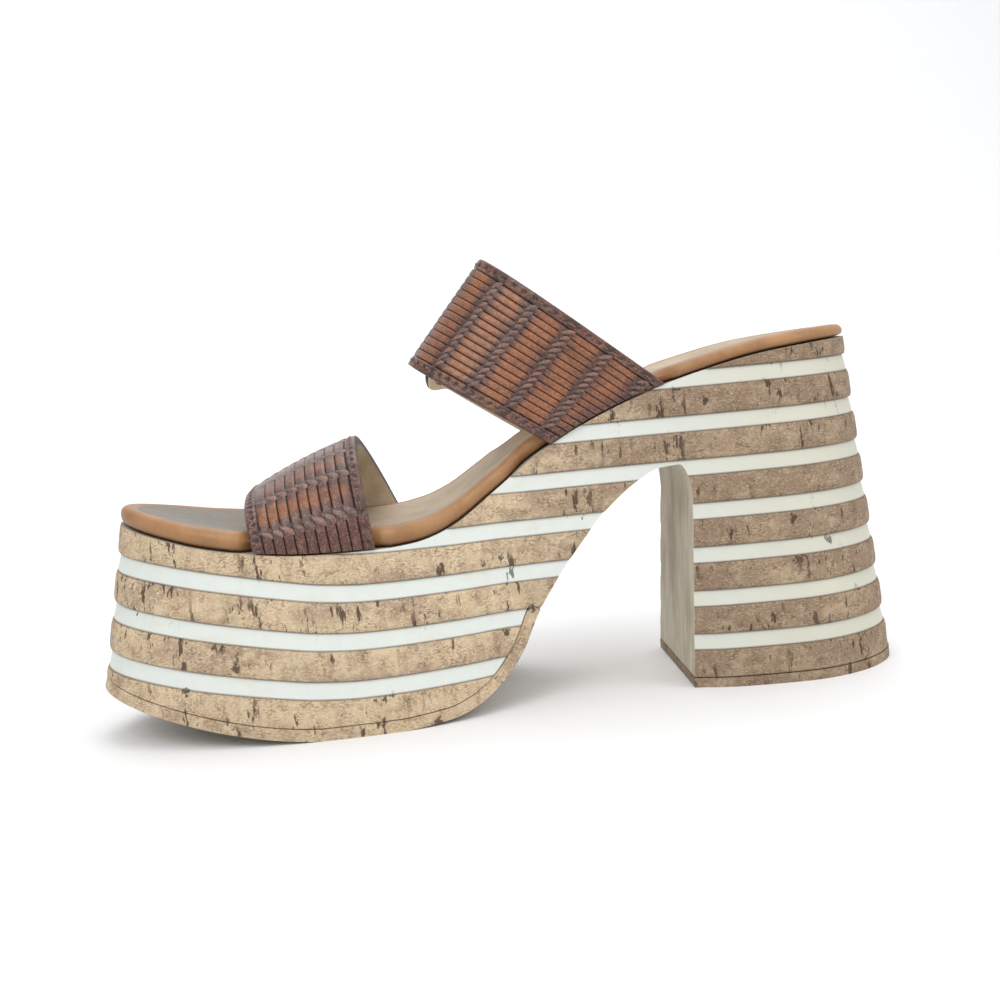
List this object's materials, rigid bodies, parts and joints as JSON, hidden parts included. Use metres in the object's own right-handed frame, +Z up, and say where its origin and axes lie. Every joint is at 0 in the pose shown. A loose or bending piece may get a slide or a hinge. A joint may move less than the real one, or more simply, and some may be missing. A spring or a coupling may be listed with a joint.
{
  "type": "platform sandal",
  "caption": "High-heeled platform slide sandal: cork-printed sole with pale bands, open waist and block heel, padded insole, woven toe strap and buckled woven instep strap",
  "frame": {"origin": "centre of the bounding box's base, on the floor", "axes": "+X from the toe to the heel, -Y the medial (inner) side, +Z up"},
  "size_m": [0.2561, 0.0922, 0.1405],
  "materials": {
    "cork_unit": "matte printed cork with pale bands",
    "tread": "matte",
    "insole": "satin",
    "woven_leather": "satin",
    "tab_leather": "satin",
    "dark_leather": "satin",
    "brass": "antique satin"
  },
  "bodies": {
    "root": {"sole_unit": "cork_unit", "forefoot_outsole": "tread", "heel_lift": "tread", "insole": "insole", "toe_strap": "woven_leather", "instep_strap": "woven_leather", "lateral_tab": "tab_leather", "buckle_billet": "dark_leather", "buckle_loop_1": "dark_leather", "buckle_loop_2": "dark_leather", "buckle_frame": "brass", "buckle_prong": "brass"}
  },
  "joints": []
}
